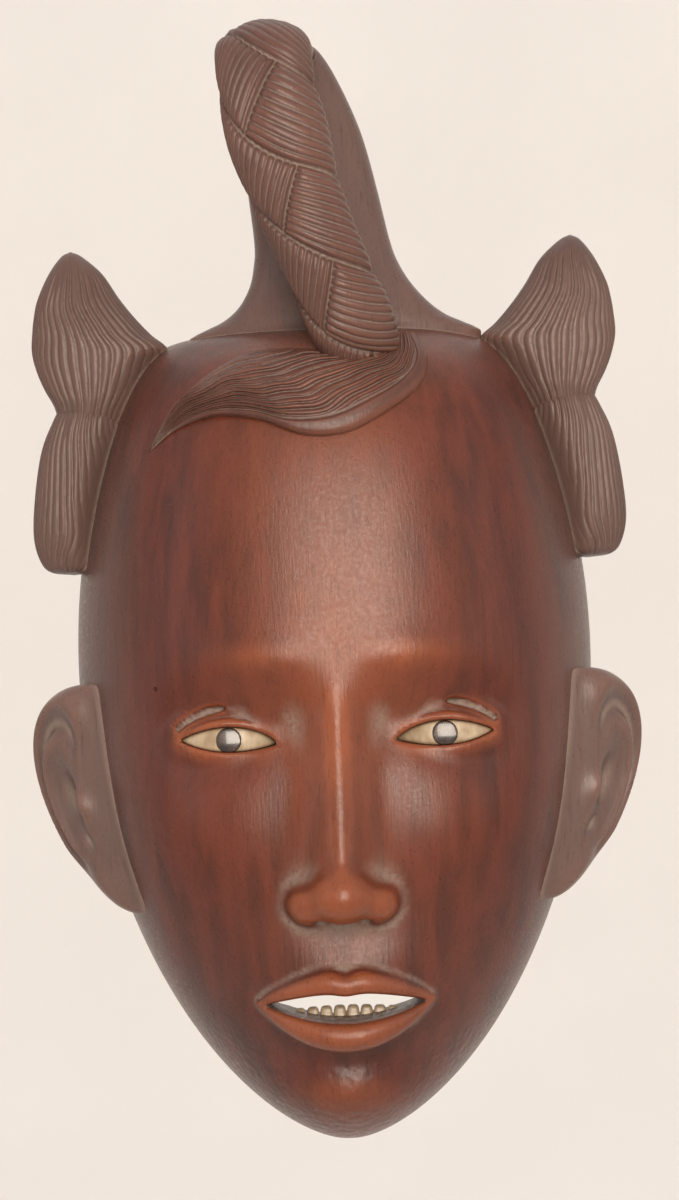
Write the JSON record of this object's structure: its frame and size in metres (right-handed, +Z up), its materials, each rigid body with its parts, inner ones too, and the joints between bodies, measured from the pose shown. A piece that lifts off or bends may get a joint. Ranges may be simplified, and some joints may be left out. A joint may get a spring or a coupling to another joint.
{
  "type": "carved wall mask",
  "caption": "Hollow carved hardwood wall mask of a calm face with a looped topknot, hair buns, ears, inlaid eyes and teeth, and a swinging hanging ring.",
  "frame": {"origin": "the point in the wall plane where a hook carries the hanging ring once it is swung up", "axes": "+Y out of the back towards the wall, so the face looks along -Y; +Z up; +X to the viewer's right"},
  "size_m": [0.1728, 0.0772, 0.3158],
  "materials": {
    "rosewood": "stained and polished",
    "combed_rosewood": "stained, combed and dusty in the grooves",
    "dowel_wood": "raw",
    "bone": "satin inlay, bone or shell",
    "horn": "polished dark horn",
    "brass": "aged brass",
    "screw_steel": "plain steel"
  },
  "bodies": {
    "mask": {"face_shell": "rosewood", "topknot_stem": "rosewood", "topknot_braid": "combed_rosewood", "forelock": "combed_rosewood", "lower_teeth": "bone", "stem_peg": "dowel_wood", "braid_peg": "dowel_wood", "hanger_plate": "brass", "hanger_screw_right": "screw_steel", "hanger_screw_left": "screw_steel", "right_bun_upper": "combed_rosewood", "right_bun_lower": "combed_rosewood", "right_ear": "rosewood", "right_bun_upper_peg": "dowel_wood", "right_bun_lower_peg": "dowel_wood", "right_ear_peg": "dowel_wood", "right_eye_white": "bone", "right_pupil": "horn", "left_bun_upper": "combed_rosewood", "left_bun_lower": "combed_rosewood", "left_ear": "rosewood", "left_bun_upper_peg": "dowel_wood", "left_bun_lower_peg": "dowel_wood", "left_ear_peg": "dowel_wood", "left_eye_white": "bone", "left_pupil": "horn"},
    "ring": {"hanger_ring": "brass"}
  },
  "joints": [
    {"name": "ring_swing", "type": "hinge", "parent": "mask", "child": "ring", "pos_m": [0, -0.0029, -0.017], "axis": [1, 0, 0], "range_deg": [0, 175]}
  ]
}
